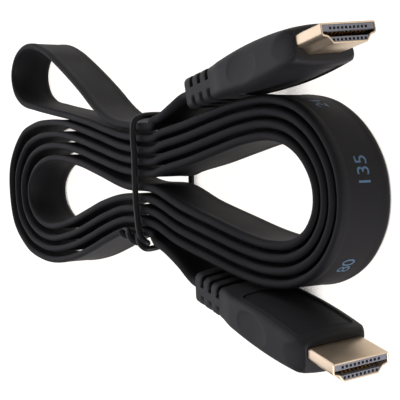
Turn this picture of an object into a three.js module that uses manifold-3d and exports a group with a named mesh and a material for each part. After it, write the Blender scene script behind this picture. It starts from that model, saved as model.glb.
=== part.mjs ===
import * as THREE from "three";
import { mergeVertices } from "three/addons/utils/BufferGeometryUtils.js";
import Module from "manifold-3d";

const wasm = await Module();
wasm.setup();

// Flat HDMI cable with a moulded plug at each end, wound into one hank and held by a twist tie.
// Sizes are millimetres and +Z is up. The flat lead stands on its narrow edge on the floor.

// Flat lead
const LEAD_WIDTH = 14.3;
const LEAD_THICK = 2.4;
const LEAD_EDGE_RADIUS = 1.0;
const LEAD_CHORD_ERROR = 0.11;
const LEAD_STEP_LONGEST = 12;
const LEAD_END_STRAIGHT = 5;
const LEAD_END_TURN = 24;
const PLUG_TAIL_LIFT = 1.5;
const PIECE_GAP = 0.3;

// Twist tie, and the rows of lead it gathers
const TIE_DIAMETER = 1.5;
const TIE_X = 14;
const ROW_FIRST_Y = 10.1;
const ROW_PITCH = 3.27;
const ROW_MIDDLE_SPREAD = 1.1;
const ROW_COUNT = 10;
const ROWS_ABOVE_SPREAD = 5;
const TIE_REACH_FLAT = 8;
const TIE_REACH_END = 55;
const TIE_TAIL_LENGTH = 12;
const TIE_TAIL_TURNS = 2.5;
const TIE_TAIL_RADIUS = 1.15;

// Plug: shell, mould and strain relief, along its own axis from the mouth
const SHELL_WIDTH = 13.9;
const SHELL_HEIGHT = 4.45;
const SHELL_SIDE = 2.35;
const SHELL_NARROW = 9.5;
const SHELL_WALL = 0.4;
const SHELL_SHOWN = 9.85;
const SHELL_SEATED = 1.2;
const BODY_HALF_WIDTH = 9.2;
const BODY_HALF_FRONT = 3.7;
const BODY_HALF_MIDDLE = 4.8;
const BODY_HALF_REAR = 4.3;
const BODY_MIDDLE_AT = 28;
const BODY_REAR_AT = 41.2;
const BODY_CROWN = 0.8;
const BODY_CORNER = 1.7;
const BODY_NOSE_ROUND = 0.9;
const RELIEF_AT = 49.3;
const RELIEF_END = 62.8;
const RELIEF_HALF_WIDTH = 8.25;
const RELIEF_HALF_HEIGHT = 4.1;
const RELIEF_END_ROUND = 0.6;
const GROOVE_COUNT = 3;
const GROOVE_PITCH = 4.3;
const GROOVE_WIDTH = 1.4;
const GROOVE_DEPTH = 1.3;
const GROOVE_SPINE = 1.1;
const PANEL_HALF_WIDTH = 7.6;
const PANEL_FRONT_AT = 13.2;
const PANEL_REAR_AT = 40;
const PANEL_CORNER = 2.2;
const PANEL_DEPTH = 0.35;
const THUMB_AT = 30;
const THUMB_LENGTH = 14;
const THUMB_HEIGHT = 7.4;
const THUMB_DEPTH = 0.45;

// Contact block inside the shell
const BLOCK_LENGTH = 9.6;
const BLOCK_INSET = 0.15;
const SLOT_TOP = 0.5;
const SLOT_BOTTOM = -0.8;
const SLOT_WIDTH = 12.2;
const SLOT_DEPTH = 8.7;
const CONTACT_PITCH = 1.0;
const CONTACTS_UPPER = 10;
const CONTACTS_LOWER = 9;
const CONTACT_WIDTH = 0.45;
const CONTACT_THICK = 0.2;
const CONTACT_LENGTH = 7.4;
const CONTACT_INSET = 1.0;
const HOLE_SIDE = 0.55;
const HOLE_DEPTH = 1.2;
const HOLE_UPPER_Y = 1.1;
const HOLE_LOWER_Y = -1.35;

// Where the two plugs lie: place of the mouth, turn about the vertical, nose up, roll
const PLUG_NEAR = { x: 103.1, y: 30.5, yaw: 10.5, pitch: 5.4, roll: 3.8 };
const PLUG_FAR = { x: 108.5, y: -39.1, yaw: -8.1, pitch: 5.6, roll: 7.0 };

const radians = THREE.MathUtils.degToRad;
const smoothstep = THREE.MathUtils.smoothstep;

// Solid helpers
function toSolid(geometry) {
  const bare = geometry.clone();
  bare.deleteAttribute("normal");
  bare.deleteAttribute("uv");
  const merged = mergeVertices(bare, 1e-4);
  const mesh = new wasm.Mesh({
    numProp: 3,
    vertProperties: new Float32Array(merged.attributes.position.array),
    triVerts: new Uint32Array(merged.index.array),
  });
  return new wasm.Manifold(mesh);
}

function toGeometry(solid) {
  const mesh = solid.getMesh();
  const geometry = new THREE.BufferGeometry();
  geometry.setAttribute("position", new THREE.BufferAttribute(new Float32Array(mesh.vertProperties), 3));
  geometry.setIndex(new THREE.BufferAttribute(new Uint32Array(mesh.triVerts), 1));
  geometry.computeVertexNormals();
  return geometry;
}

function boxAt(sizeX, sizeY, sizeZ, x, y, z) {
  const box = new THREE.BoxGeometry(sizeX, sizeY, sizeZ);
  box.translate(x, y, z);
  return toSolid(box);
}

// A closed skin over a row of rings that all have the same number of points
function loft(rings) {
  const count = rings[0].length;
  const positions = [];
  const index = [];
  for (const ring of rings) {
    for (const point of ring) {
      positions.push(point.x, point.y, point.z);
    }
  }
  for (let row = 0; row < rings.length - 1; row++) {
    for (let i = 0; i < count; i++) {
      const a = row * count + i;
      const b = row * count + ((i + 1) % count);
      index.push(a, b, b + count, a, b + count, a + count);
    }
  }
  for (const [first, flip] of [[0, true], [(rings.length - 1) * count, false]]) {
    for (let i = 1; i < count - 1; i++) {
      index.push(first, first + (flip ? i + 1 : i), first + (flip ? i : i + 1));
    }
  }
  const geometry = new THREE.BufferGeometry();
  geometry.setAttribute("position", new THREE.BufferAttribute(new Float32Array(positions), 3));
  geometry.setIndex(index);
  geometry.computeVertexNormals();
  return geometry;
}

// Route of the lead, as plan points from the first plug to the second
function rowY(row) {
  return ROW_FIRST_Y - row * ROW_PITCH - (row >= ROWS_ABOVE_SPREAD ? ROW_MIDDLE_SPREAD : 0);
}

// Innermost turn of the loops on the plug side: x, y and how far the outermost turn lies outside it
const PLUG_SIDE_TURN = [
  [27, -1.6, 9.8], [40, 1.3, 9.6], [52, 4.5, 9.4], [63, 7.2, 9.0], [73, 8.3, 8.7], [81, 7.0, 8.5],
  [87.2, 3.2, 8.4], [90.8, -2, 8.4], [91.2, -7.6, 8.4], [88.2, -12.8, 8.5], [82.3, -16.1, 8.8],
  [74, -17.2, 9.2], [64, -16.5, 9.4], [50, -13.9, 9.5], [36, -11.0, 9.6],
];
const PLUG_SIDE_SHARES = [0, 1 / 3, 2 / 3, 1];

// Innermost turn of the nested loops on the far side
const FAR_SIDE_TURN = [
  [-14, -4.3, 10.7], [-28, -2.4, 10.7], [-42, -1.4, 11.4], [-52, -1.8, 12.0], [-60, -3.7, 13.6],
  [-66.2, -7.2, 16.2], [-69.9, -12.4, 17.7], [-69.3, -17.6, 16.4], [-65.2, -21.8, 13.6],
  [-58.5, -24.2, 11.8], [-50, -24.5, 11.3], [-36, -21.6, 11.5], [-22, -17.4, 11.4], [-10, -13.8, 10.8],
];
const FAR_SIDE_SHARES = [0, 0.35, 0.67, 1];

// The single loop that stands away from the others
const ODD_LOOP = [
  [-4, 11.2], [-14, 14.4], [-27.6, 21.1], [-42.5, 28.2], [-54.5, 33.4], [-64.6, 36], [-74, 35.8],
  [-81, 32.4], [-84, 26.8], [-81.8, 20.9], [-75.5, 17.0], [-64, 15.2], [-51, 13.8], [-35.2, 12.2],
  [-20, 10.4], [-8, 8.6],
];

const NEAR_LEAD = [[31, 15.2], [25.5, 12.6], [20, 10.9]];
const FAR_LEAD = [[22, -21.3], [29, -23.6], [35.5, -26.2]];

// One turn of a nest: the inner turn pushed outwards by its share of the spread
function nestedTurn(inner, share, outwards) {
  const points = [];
  inner.forEach(([x, y, spread], i) => {
    const before = inner[Math.max(i - 1, 0)];
    const after = inner[Math.min(i + 1, inner.length - 1)];
    const along = new THREE.Vector2(after[0] - before[0], after[1] - before[1]).normalize();
    points.push([x - along.y * spread * share * outwards, y + along.x * spread * share * outwards]);
  });
  return points;
}

function plugSideLoop(nest) {
  return nestedTurn(PLUG_SIDE_TURN, PLUG_SIDE_SHARES[nest], 1);
}

function farSideLoop(nest) {
  return nestedTurn(FAR_SIDE_TURN, FAR_SIDE_SHARES[nest], -1);
}

function tieRow(row, towardsPlugs) {
  const reach = TIE_REACH_FLAT;
  const ends = [[TIE_X - reach, rowY(row)], [TIE_X + reach, rowY(row)]];
  return towardsPlugs ? ends : ends.reverse();
}

// Height of the lead over the floor: the tie passes under it and lifts it a little
function liftAt(x) {
  const lift = 2 * PIECE_GAP + TIE_DIAMETER - 0.1;
  return lift * (1 - smoothstep(Math.abs(x - TIE_X), TIE_REACH_FLAT, TIE_REACH_END));
}

function plugFrame(plug) {
  const holder = new THREE.Object3D();
  holder.rotation.order = "ZYX";
  holder.rotation.set(radians(plug.roll), -radians(plug.pitch), radians(plug.yaw));
  holder.updateMatrix();
  const out = new THREE.Vector3(1, 0, 0).transformDirection(holder.matrix);
  const up = new THREE.Vector3(0, 0, 1).transformDirection(holder.matrix);
  const mouth = new THREE.Vector3(plug.x, plug.y, 0);
  mouth.z = LEAD_WIDTH / 2 + PLUG_TAIL_LIFT + out.z * RELIEF_END;
  return { mouth, out, up, rotation: holder.rotation };
}

const nearFrame = plugFrame(PLUG_NEAR);
const farFrame = plugFrame(PLUG_FAR);

// The last stretch of lead runs straight into a plug and stops the gap short of the strain relief
function leadEnd(frame) {
  const end = frame.mouth.clone().addScaledVector(frame.out, -(RELIEF_END + PIECE_GAP));
  return [end.clone().addScaledVector(frame.out, -LEAD_END_STRAIGHT), end];
}

function onFloor([x, y]) {
  return new THREE.Vector3(x, y, LEAD_WIDTH / 2 + liftAt(x));
}

const coilPoints = [
  ...NEAR_LEAD,
  ...tieRow(0, false),
  ...ODD_LOOP,
  ...tieRow(1, true),
  ...plugSideLoop(3),
  ...tieRow(8, false),
  ...farSideLoop(2).reverse(),
  ...tieRow(3, true),
  ...plugSideLoop(1),
  ...tieRow(6, false),
  ...farSideLoop(0).reverse(),
  ...tieRow(5, true),
  ...plugSideLoop(0).reverse(),
  ...tieRow(4, false),
  ...farSideLoop(1),
  ...tieRow(7, true),
  ...plugSideLoop(2).reverse(),
  ...tieRow(2, false),
  ...farSideLoop(3),
  ...tieRow(ROW_COUNT - 1, true),
  ...FAR_LEAD,
];

const routeCurve = new THREE.CatmullRomCurve3(
  [...leadEnd(nearFrame).reverse(), ...coilPoints.map(onFloor), ...leadEnd(farFrame)],
  false, "centripetal");
routeCurve.arcLengthDivisions = 6000;

// Stations along the route, closer together where it bends
function routeStations() {
  const total = routeCurve.getLength();
  const probe = 1.5;
  const stations = [0];
  let at = 0;
  while (at < total) {
    const from = routeCurve.getTangentAt(at / total);
    const to = routeCurve.getTangentAt(Math.min((at + probe) / total, 1));
    const bend = Math.max(from.angleTo(to) / probe, 1e-4);
    at += Math.min(Math.sqrt((8 * LEAD_CHORD_ERROR) / bend), LEAD_STEP_LONGEST);
    stations.push(Math.min(at / total, 1));
  }
  return stations;
}

function roundedOutline(halfWidth, halfHeight, radius, steps) {
  const points = [];
  const corners = [[1, 1, 0], [-1, 1, 90], [-1, -1, 180], [1, -1, 270]];
  for (const [sideX, sideY, start] of corners) {
    for (let i = 0; i <= steps; i++) {
      const angle = radians(start + (90 * i) / steps);
      points.push(new THREE.Vector2(
        sideX * (halfWidth - radius) + radius * Math.cos(angle),
        sideY * (halfHeight - radius) + radius * Math.sin(angle)));
    }
  }
  return points;
}

function leadGeometry() {
  const outline = roundedOutline(LEAD_THICK / 2, LEAD_WIDTH / 2, LEAD_EDGE_RADIUS, 1);
  const total = routeCurve.getLength();
  const vertical = new THREE.Vector3(0, 0, 1);
  const rings = routeStations().map((u) => {
    const at = routeCurve.getPointAt(u);
    const along = routeCurve.getTangentAt(u);
    const frame = u < 0.5 ? nearFrame : farFrame;
    const fromEnd = Math.min(u, 1 - u) * total;
    if (fromEnd === 0) {
      along.copy(frame.out).multiplyScalar(u < 0.5 ? -1 : 1);
    }
    const up = frame.up.clone().lerp(vertical, smoothstep(fromEnd, 0, LEAD_END_TURN));
    const side = up.cross(along).normalize();
    const across = along.clone().cross(side);
    return outline.map((p) => at.clone().addScaledVector(side, p.x).addScaledVector(across, p.y));
  });
  return loft(rings);
}

// Twist tie: one wire round the rows, its two ends wound round each other
function tiePath() {
  const reach = TIE_DIAMETER / 2 + PIECE_GAP;
  const under = TIE_DIAMETER / 2 + 0.1;
  const over = LEAD_WIDTH + liftAt(TIE_X) + reach;
  const upper = rowY(0) + LEAD_THICK / 2 + reach;
  const lower = rowY(ROW_COUNT - 1) - LEAD_THICK / 2 - reach;
  const middle = (over + under) / 2;
  const knot = new THREE.Vector3(TIE_X + 2.6, lower - 1.3, over - 1.6);
  const tip = new THREE.Vector3(TIE_X - 8.4, lower + 1.2, over + 2.1);
  const points = [];
  const tail = (phase, backwards) => {
    const axis = tip.clone().sub(knot).normalize();
    const sideways = new THREE.Vector3(0, 0, 1).cross(axis).normalize();
    const upwards = axis.clone().cross(sideways);
    const steps = Math.round(TIE_TAIL_TURNS * 8);
    const run = [];
    for (let i = 0; i <= steps; i++) {
      const share = i / steps;
      const turn = phase + share * TIE_TAIL_TURNS * 2 * Math.PI;
      run.push(knot.clone()
        .addScaledVector(axis, 1.2 + share * (TIE_TAIL_LENGTH - 1.2))
        .addScaledVector(sideways, TIE_TAIL_RADIUS * Math.cos(turn))
        .addScaledVector(upwards, TIE_TAIL_RADIUS * Math.sin(turn)));
    }
    return backwards ? run.reverse() : run;
  };
  points.push(...tail(0, true));
  points.push(new THREE.Vector3(TIE_X + 3.4, lower - 1.5, over - 4));
  points.push(new THREE.Vector3(TIE_X + 3.0, lower - 0.4, middle));
  points.push(new THREE.Vector3(TIE_X + 3.4, lower - 0.1, under + 1.6));
  points.push(new THREE.Vector3(TIE_X + 3.6, lower + 0.8, under + 0.3));
  points.push(new THREE.Vector3(TIE_X + 3.7, lower + 2.4, under));
  points.push(new THREE.Vector3(TIE_X + 3.9, lower + 6, under));
  points.push(new THREE.Vector3(TIE_X + 3.7, upper - 6, under));
  points.push(new THREE.Vector3(TIE_X + 3.4, upper - 2.4, under));
  points.push(new THREE.Vector3(TIE_X + 3.2, upper - 0.8, under + 0.3));
  points.push(new THREE.Vector3(TIE_X + 2.8, upper + 0.1, under + 1.6));
  points.push(new THREE.Vector3(TIE_X + 0.4, upper + 0.7, middle));
  points.push(new THREE.Vector3(TIE_X - 0.6, upper + 0.2, over - 2.0));
  points.push(new THREE.Vector3(TIE_X - 0.9, upper - 1.2, over));
  points.push(new THREE.Vector3(TIE_X - 1.2, rowY(3), over + 0.1));
  points.push(new THREE.Vector3(TIE_X - 0.2, rowY(7), over + 0.1));
  points.push(new THREE.Vector3(TIE_X + 1.6, lower + 1.8, over));
  points.push(...tail(Math.PI, false));
  return new THREE.CatmullRomCurve3(points, false, "centripetal");
}

function tieGeometry() {
  const section = new THREE.Shape();
  section.absarc(0, 0, TIE_DIAMETER / 2, 0, Math.PI * 2);
  return new THREE.ExtrudeGeometry(section, { steps: 120, curveSegments: 3, extrudePath: tiePath() });
}

// Plug mould, seen along its own axis: X out of the mouth, Y through the thickness, Z across
function bodyRing(at, halfWidth, halfHeight, corner, crown) {
  const across = 4;
  const flat = halfWidth - corner;
  const outline = roundedOutline(halfWidth, halfHeight, corner, 2);
  const ring = [];
  outline.forEach((point, i) => {
    const next = outline[(i + 1) % outline.length];
    const pieces = Math.abs(next.x - point.x) > flat ? across : 1;
    for (let k = 0; k < pieces; k++) {
      ring.push(point.clone().lerp(next, k / pieces));
    }
  });
  return ring.map((p) => {
    const share = Math.min(Math.abs(p.x) / flat, 1);
    return new THREE.Vector3(-at, p.y + Math.sign(p.y) * crown * (1 - share * share), p.x);
  });
}

function bodyHalfHeight(at) {
  if (at > RELIEF_AT) {
    return RELIEF_HALF_HEIGHT;
  }
  if (at > BODY_REAR_AT) {
    return THREE.MathUtils.mapLinear(at, BODY_REAR_AT, RELIEF_AT, BODY_HALF_REAR, RELIEF_HALF_HEIGHT);
  }
  const reach = at < BODY_MIDDLE_AT ? BODY_MIDDLE_AT - SHELL_SHOWN : BODY_REAR_AT - BODY_MIDDLE_AT;
  const end = at < BODY_MIDDLE_AT ? BODY_HALF_FRONT : BODY_HALF_REAR;
  const share = (at - BODY_MIDDLE_AT) / reach;
  return BODY_HALF_MIDDLE - (BODY_HALF_MIDDLE - end) * share * share;
}

function bodyHalfWidth(at) {
  const waist = smoothstep(at, BODY_REAR_AT, RELIEF_AT);
  return BODY_HALF_WIDTH - (BODY_HALF_WIDTH - RELIEF_HALF_WIDTH) * waist;
}

function bodyCrown(at) {
  const relief = 0.35;
  return BODY_CROWN - (BODY_CROWN - relief) * smoothstep(at, BODY_REAR_AT - 3, RELIEF_AT);
}

function bodySkin(inset) {
  const rings = [];
  const add = (at, shrink) => rings.push(bodyRing(
    at, bodyHalfWidth(at) - shrink - inset, bodyHalfHeight(at) - shrink - inset,
    BODY_CORNER - Math.min(shrink, 0.6), bodyCrown(at)));
  for (let i = 0; i <= 2; i++) {
    const turn = radians((90 * i) / 2);
    add(SHELL_SHOWN + BODY_NOSE_ROUND * (1 - Math.sin(turn)), BODY_NOSE_ROUND * (1 - Math.cos(turn)));
  }
  rings.reverse();
  for (let i = 1; i <= 6; i++) {
    add(THREE.MathUtils.lerp(SHELL_SHOWN + BODY_NOSE_ROUND, BODY_REAR_AT, i / 6), 0);
  }
  for (let i = 1; i <= 2; i++) {
    add(THREE.MathUtils.lerp(BODY_REAR_AT, RELIEF_AT, i / 2), 0);
  }
  for (let i = 0; i <= 2; i++) {
    const turn = radians((90 * i) / 2);
    add(RELIEF_END - RELIEF_END_ROUND * (1 - Math.sin(turn)), RELIEF_END_ROUND * (1 - Math.cos(turn)));
  }
  return toSolid(loft(rings));
}

function shellOutline(grow) {
  const half = SHELL_WIDTH / 2 + grow;
  const top = SHELL_HEIGHT / 2 + grow;
  const shoulder = SHELL_HEIGHT / 2 - SHELL_SIDE - grow * 0.4;
  const narrow = SHELL_NARROW / 2 + grow * 0.55;
  const shape = new THREE.Shape();
  shape.moveTo(-half, top);
  shape.lineTo(-half, shoulder);
  shape.lineTo(-narrow, -top);
  shape.lineTo(narrow, -top);
  shape.lineTo(half, shoulder);
  shape.lineTo(half, top);
  shape.closePath();
  return shape;
}

// Stands a profile drawn across and up the mouth along the plug's axis, from one depth to another
function alongPlug(shape, from, to) {
  const geometry = new THREE.ExtrudeGeometry(shape, { depth: to - from, bevelEnabled: false });
  geometry.applyMatrix4(new THREE.Matrix4().set(
    0, 0, -1, -from,
    0, 1, 0, 0,
    1, 0, 0, 0,
    0, 0, 0, 1));
  return geometry;
}

function bodyGeometry() {
  let body = bodySkin(0);
  const floor = bodySkin(PANEL_DEPTH);
  const tall = 20;
  const panel = new THREE.Shape(roundedOutline(
    (PANEL_REAR_AT - PANEL_FRONT_AT) / 2, PANEL_HALF_WIDTH, PANEL_CORNER, 3));
  const prism = new THREE.ExtrudeGeometry(panel, { depth: tall, bevelEnabled: false });
  prism.translate(-(PANEL_REAR_AT + PANEL_FRONT_AT) / 2, 0, -tall / 2);
  prism.rotateX(Math.PI / 2);
  body = body.subtract(toSolid(prism).subtract(floor));
  for (const side of [1, -1]) {
    const thumb = new THREE.SphereGeometry(1, 20, 14);
    thumb.scale(THUMB_LENGTH / 2, THUMB_HEIGHT / 2, 2 * THUMB_DEPTH);
    thumb.translate(-THUMB_AT, 0, side * (BODY_HALF_WIDTH + THUMB_DEPTH));
    body = body.subtract(toSolid(thumb));
  }
  const core = RELIEF_HALF_HEIGHT + bodyCrown(RELIEF_AT) - GROOVE_DEPTH;
  const wide = 2 * RELIEF_HALF_WIDTH + 4;
  for (let i = 0; i < GROOVE_COUNT; i++) {
    const at = RELIEF_AT + GROOVE_WIDTH / 2 + i * GROOVE_PITCH;
    for (const face of [1, -1]) {
      const cut = RELIEF_HALF_HEIGHT + 2;
      body = body.subtract(boxAt(GROOVE_WIDTH, cut - core, wide, -at, face * (core + cut) / 2, 0));
      for (const side of [1, -1]) {
        const cheek = RELIEF_HALF_WIDTH - GROOVE_DEPTH;
        body = body.subtract(boxAt(
          GROOVE_WIDTH, cut - GROOVE_SPINE, 4, -at, face * (cut + GROOVE_SPINE) / 2, side * (cheek + 2)));
      }
    }
  }
  const pocket = alongPlug(shellOutline(PIECE_GAP), SHELL_SHOWN - 1, SHELL_SHOWN + SHELL_SEATED + PIECE_GAP);
  return toGeometry(body.subtract(toSolid(pocket)));
}

function shellGeometry() {
  const outline = shellOutline(0);
  outline.holes.push(new THREE.Path(shellOutline(-SHELL_WALL).getPoints()));
  return alongPlug(outline, 0, SHELL_SHOWN + SHELL_SEATED);
}

function rowPlace(index, count) {
  return (index - (count - 1) / 2) * CONTACT_PITCH;
}

function blockGeometry() {
  let block = toSolid(alongPlug(
    shellOutline(-SHELL_WALL - PIECE_GAP), BLOCK_INSET, BLOCK_INSET + BLOCK_LENGTH));
  const slotDepth = SLOT_DEPTH + 1;
  block = block.subtract(boxAt(
    slotDepth, SLOT_TOP - SLOT_BOTTOM, SLOT_WIDTH,
    -BLOCK_INSET - SLOT_DEPTH + slotDepth / 2, (SLOT_TOP + SLOT_BOTTOM) / 2, 0));
  for (const [count, y] of [[CONTACTS_UPPER, HOLE_UPPER_Y], [CONTACTS_LOWER, HOLE_LOWER_Y]]) {
    for (let i = 0; i < count; i++) {
      const depth = HOLE_DEPTH + 1;
      block = block.subtract(boxAt(
        depth, HOLE_SIDE, HOLE_SIDE, -BLOCK_INSET - HOLE_DEPTH + depth / 2, y, rowPlace(i, count)));
    }
  }
  return toGeometry(block);
}

// Materials
function material(colour, roughness, metalness) {
  return new THREE.MeshStandardMaterial({ color: colour, roughness, metalness });
}

function piece(name, geometry, look) {
  const mesh = new THREE.Mesh(geometry, look);
  mesh.name = name;
  return mesh;
}

function contactPieces(plugName) {
  const pieces = [];
  const rows = [
    ["upper", CONTACTS_UPPER, SLOT_TOP - PIECE_GAP - CONTACT_THICK / 2],
    ["lower", CONTACTS_LOWER, SLOT_BOTTOM + PIECE_GAP + CONTACT_THICK / 2],
  ];
  for (const [row, count, y] of rows) {
    for (let i = 0; i < count; i++) {
      const strip = piece(
        `${plugName}_contact_${row}_${i + 1}`,
        new THREE.BoxGeometry(CONTACT_LENGTH, CONTACT_THICK, CONTACT_WIDTH),
        material(0xc9a24c, 0.3, 0.95));
      strip.position.set(-CONTACT_INSET - CONTACT_LENGTH / 2, y, rowPlace(i, count));
      pieces.push(strip);
    }
  }
  return pieces;
}

function plugGroup(plugName, frame) {
  const plug = new THREE.Group();
  plug.name = plugName;
  plug.add(piece(`${plugName}_mould`, bodyGeometry(), material(0x1c1b1c, 0.6, 0)));
  plug.add(piece(`${plugName}_shell`, shellGeometry(), material(0xd8c4a4, 0.32, 1)));
  plug.add(piece(`${plugName}_block`, blockGeometry(), material(0x54565e, 0.5, 0)));
  plug.add(...contactPieces(plugName));
  plug.rotation.copy(frame.rotation);
  plug.position.copy(frame.mouth);
  return plug;
}

const group = new THREE.Group();
group.name = "hdmi_cable";
group.add(piece("flat_lead", leadGeometry(), material(0x1b1a1c, 0.5, 0)));
group.add(piece("twist_tie", tieGeometry(), material(0x161616, 0.42, 0)));
group.add(plugGroup("plug_a", nearFrame));
group.add(plugGroup("plug_b", farFrame));

// The origin is the middle of the floor the hank covers
group.updateMatrixWorld(true);
const bounds = new THREE.Box3().setFromObject(group, true);
const middle = bounds.getCenter(new THREE.Vector3());
group.position.set(-middle.x, -middle.y, -bounds.min.z);

export default group;
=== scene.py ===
# %% [markdown]
# # A flat video cable wound into a hank
# The object is 1.8 m of flat black lead with a moulded plug at each end. The lead stands on its
# narrow edge, goes back and forth in nested loops, and a twist tie holds it at the waist.
# The solid model gives the size and place of each piece. This scene gives them their looks.

# %% Load the solid model
import math
import bmesh
import bpy
import numpy as np
from mathutils import Matrix, Vector


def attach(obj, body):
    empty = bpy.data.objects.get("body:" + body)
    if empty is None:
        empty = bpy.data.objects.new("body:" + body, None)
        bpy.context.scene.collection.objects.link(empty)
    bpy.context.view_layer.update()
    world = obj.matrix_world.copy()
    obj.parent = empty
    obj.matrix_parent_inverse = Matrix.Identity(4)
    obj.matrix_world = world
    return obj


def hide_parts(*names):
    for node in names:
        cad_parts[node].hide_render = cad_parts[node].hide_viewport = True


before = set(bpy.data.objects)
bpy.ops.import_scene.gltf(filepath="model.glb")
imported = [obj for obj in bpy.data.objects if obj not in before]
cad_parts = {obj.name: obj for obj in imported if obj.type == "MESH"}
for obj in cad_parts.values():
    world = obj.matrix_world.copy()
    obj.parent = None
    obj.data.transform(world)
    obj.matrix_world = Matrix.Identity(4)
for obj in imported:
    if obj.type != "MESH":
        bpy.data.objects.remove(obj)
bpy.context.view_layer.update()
MM = 0.001

# %% [markdown]
# ## The camera
# The picture is taken from about 30 degrees above the floor, and turned on its side, so that the
# hank's long way runs across the picture. A camera's matrix is easiest to read as three directions,
# to the right, up and backwards, and a place. A lens of 94 mm keeps the perspective mild.

# %% Camera
HANK_SHIFT = Vector((-10.553, 2.474, 0.026)) * MM
CAMERA_PLACE = Vector((271.52, 14.41, 155.91)) * MM + HANK_SHIFT
CAMERA_RIGHT = Vector((0.52875, 0.0, -0.84878))
CAMERA_UP = Vector((-0.07315, 0.99628, -0.04557))
LENS_MM = 93.72

camera_data = bpy.data.cameras.new("picture_camera")
camera_data.lens = LENS_MM
camera_data.sensor_width = 36.0
camera_data.clip_start = 0.01
camera = bpy.data.objects.new("picture_camera", camera_data)
bpy.context.scene.collection.objects.link(camera)
bpy.context.scene.camera = camera
right = CAMERA_RIGHT.normalized()
backward = right.cross(CAMERA_UP).normalized()
up = backward.cross(right)
turn = Matrix((right, up, backward)).transposed().to_4x4()
camera.matrix_world = Matrix.Translation(CAMERA_PLACE) @ turn
print("camera height over the floor", round(CAMERA_PLACE.z, 3))

# %% [markdown]
# ## The lead's route
# One smooth curve carries the lead from the first plug to the second. It passes the tie ten times.
# Between two passes it makes a loop. The loops of a nest are the innermost one pushed outwards, so
# only that one is drawn. The numbers are millimetres on the floor, from the hank's own mark.

# %% Sizes of the lead and where it passes the tie
LEAD_WIDTH = 14.3
LEAD_THICK = 2.4
TIE_DIAMETER = 1.5
TIE_X = 14.0
TIE_OFF_FLOOR = 0.1
LEAD_OVER_TIE = 0.4
PIECE_GAP = 0.3
ROW_FIRST_Y = 10.1
ROW_PITCH = 3.27
ROW_MIDDLE_SPREAD = 1.1
ROWS_ABOVE_SPREAD = 5
TIE_REACH_FLAT = 8.0
TIE_REACH_END = 55.0
LEAD_END_STRAIGHT = 5.0
LEAD_END_TURN = 24.0
PLUG_TAIL_LIFT = 1.5
RELIEF_END = 62.8


def smoothstep(value, low, high):
    share = min(max((value - low) / (high - low), 0.0), 1.0)
    return share * share * (3 - 2 * share)


def row_y(row):
    spread = ROW_MIDDLE_SPREAD if row >= ROWS_ABOVE_SPREAD else 0.0
    return ROW_FIRST_Y - row * ROW_PITCH - spread


def lift_at(x):
    lift = TIE_OFF_FLOOR + TIE_DIAMETER + LEAD_OVER_TIE
    return lift * (1 - smoothstep(abs(x - TIE_X), TIE_REACH_FLAT, TIE_REACH_END))


print("rows at the tie", [round(row_y(row), 1) for row in range(10)])

# %% [markdown]
# The two plugs lie with their noses a little up, because a plug is wider than the lead it sits on.
# Each is placed by its mouth, a turn about the vertical, a nose-up angle and a roll.

# %% Plug places
PLUGS = {
    "plug_a": {"x": 103.1, "y": 30.5, "yaw": 10.5, "pitch": 5.4, "roll": 3.8},
    "plug_b": {"x": 108.5, "y": -39.1, "yaw": -8.1, "pitch": 5.6, "roll": 7.0},
}


def plug_matrix(plug):
    spin = (Matrix.Rotation(math.radians(plug["yaw"]), 4, "Z")
            @ Matrix.Rotation(-math.radians(plug["pitch"]), 4, "Y")
            @ Matrix.Rotation(math.radians(plug["roll"]), 4, "X"))
    height = LEAD_WIDTH / 2 + PLUG_TAIL_LIFT + spin[2][0] * RELIEF_END
    return Matrix.Translation((plug["x"], plug["y"], height)) @ spin


plug_frames = {name: plug_matrix(plug) for name, plug in PLUGS.items()}
for name, matrix in plug_frames.items():
    print(name, "mouth at", [round(v, 1) for v in matrix.translation])

# %% [markdown]
# The innermost turn of each nest is drawn as points with a third number: how far the nest's
# outermost turn lies from it there. The turns between take a share of that, so the gaps open and
# close together, as they do in a hank pressed by hand. The odd loop and the two ends are drawn alone.

# %% The loops, drawn once for each nest
PLUG_SIDE_TURN = [
    (27, -1.6, 9.8), (40, 1.3, 9.6), (52, 4.5, 9.4), (63, 7.2, 9.0), (73, 8.3, 8.7), (81, 7.0, 8.5),
    (87.2, 3.2, 8.4), (90.8, -2, 8.4), (91.2, -7.6, 8.4), (88.2, -12.8, 8.5), (82.3, -16.1, 8.8),
    (74, -17.2, 9.2), (64, -16.5, 9.4), (50, -13.9, 9.5), (36, -11.0, 9.6)]
PLUG_SIDE_SHARES = (0, 1 / 3, 2 / 3, 1)
FAR_SIDE_TURN = [
    (-14, -4.3, 10.7), (-28, -2.4, 10.7), (-42, -1.4, 11.4), (-52, -1.8, 12.0), (-60, -3.7, 13.6),
    (-66.2, -7.2, 16.2), (-69.9, -12.4, 17.7), (-69.3, -17.6, 16.4), (-65.2, -21.8, 13.6),
    (-58.5, -24.2, 11.8), (-50, -24.5, 11.3), (-36, -21.6, 11.5), (-22, -17.4, 11.4), (-10, -13.8, 10.8)]
FAR_SIDE_SHARES = (0, 0.35, 0.67, 1)
ODD_LOOP = [
    (-4, 11.2), (-14, 14.4), (-27.6, 21.1), (-42.5, 28.2), (-54.5, 33.4), (-64.6, 36), (-74, 35.8),
    (-81, 32.4), (-84, 26.8), (-81.8, 20.9), (-75.5, 17.0), (-64, 15.2), (-51, 13.8), (-35.2, 12.2),
    (-20, 10.4), (-8, 8.6)]
NEAR_LEAD = [(31, 15.2), (25.5, 12.6), (20, 10.9)]
FAR_LEAD = [(22, -21.3), (29, -23.6), (35.5, -26.2)]
print("points on the two inner turns", len(PLUG_SIDE_TURN), len(FAR_SIDE_TURN))

# %% [markdown]
# The route is put together in the order in which the lead was wound: through the tie, round one
# nest, back through the tie and round the other. A turn walked the other way is simply reversed.

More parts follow.
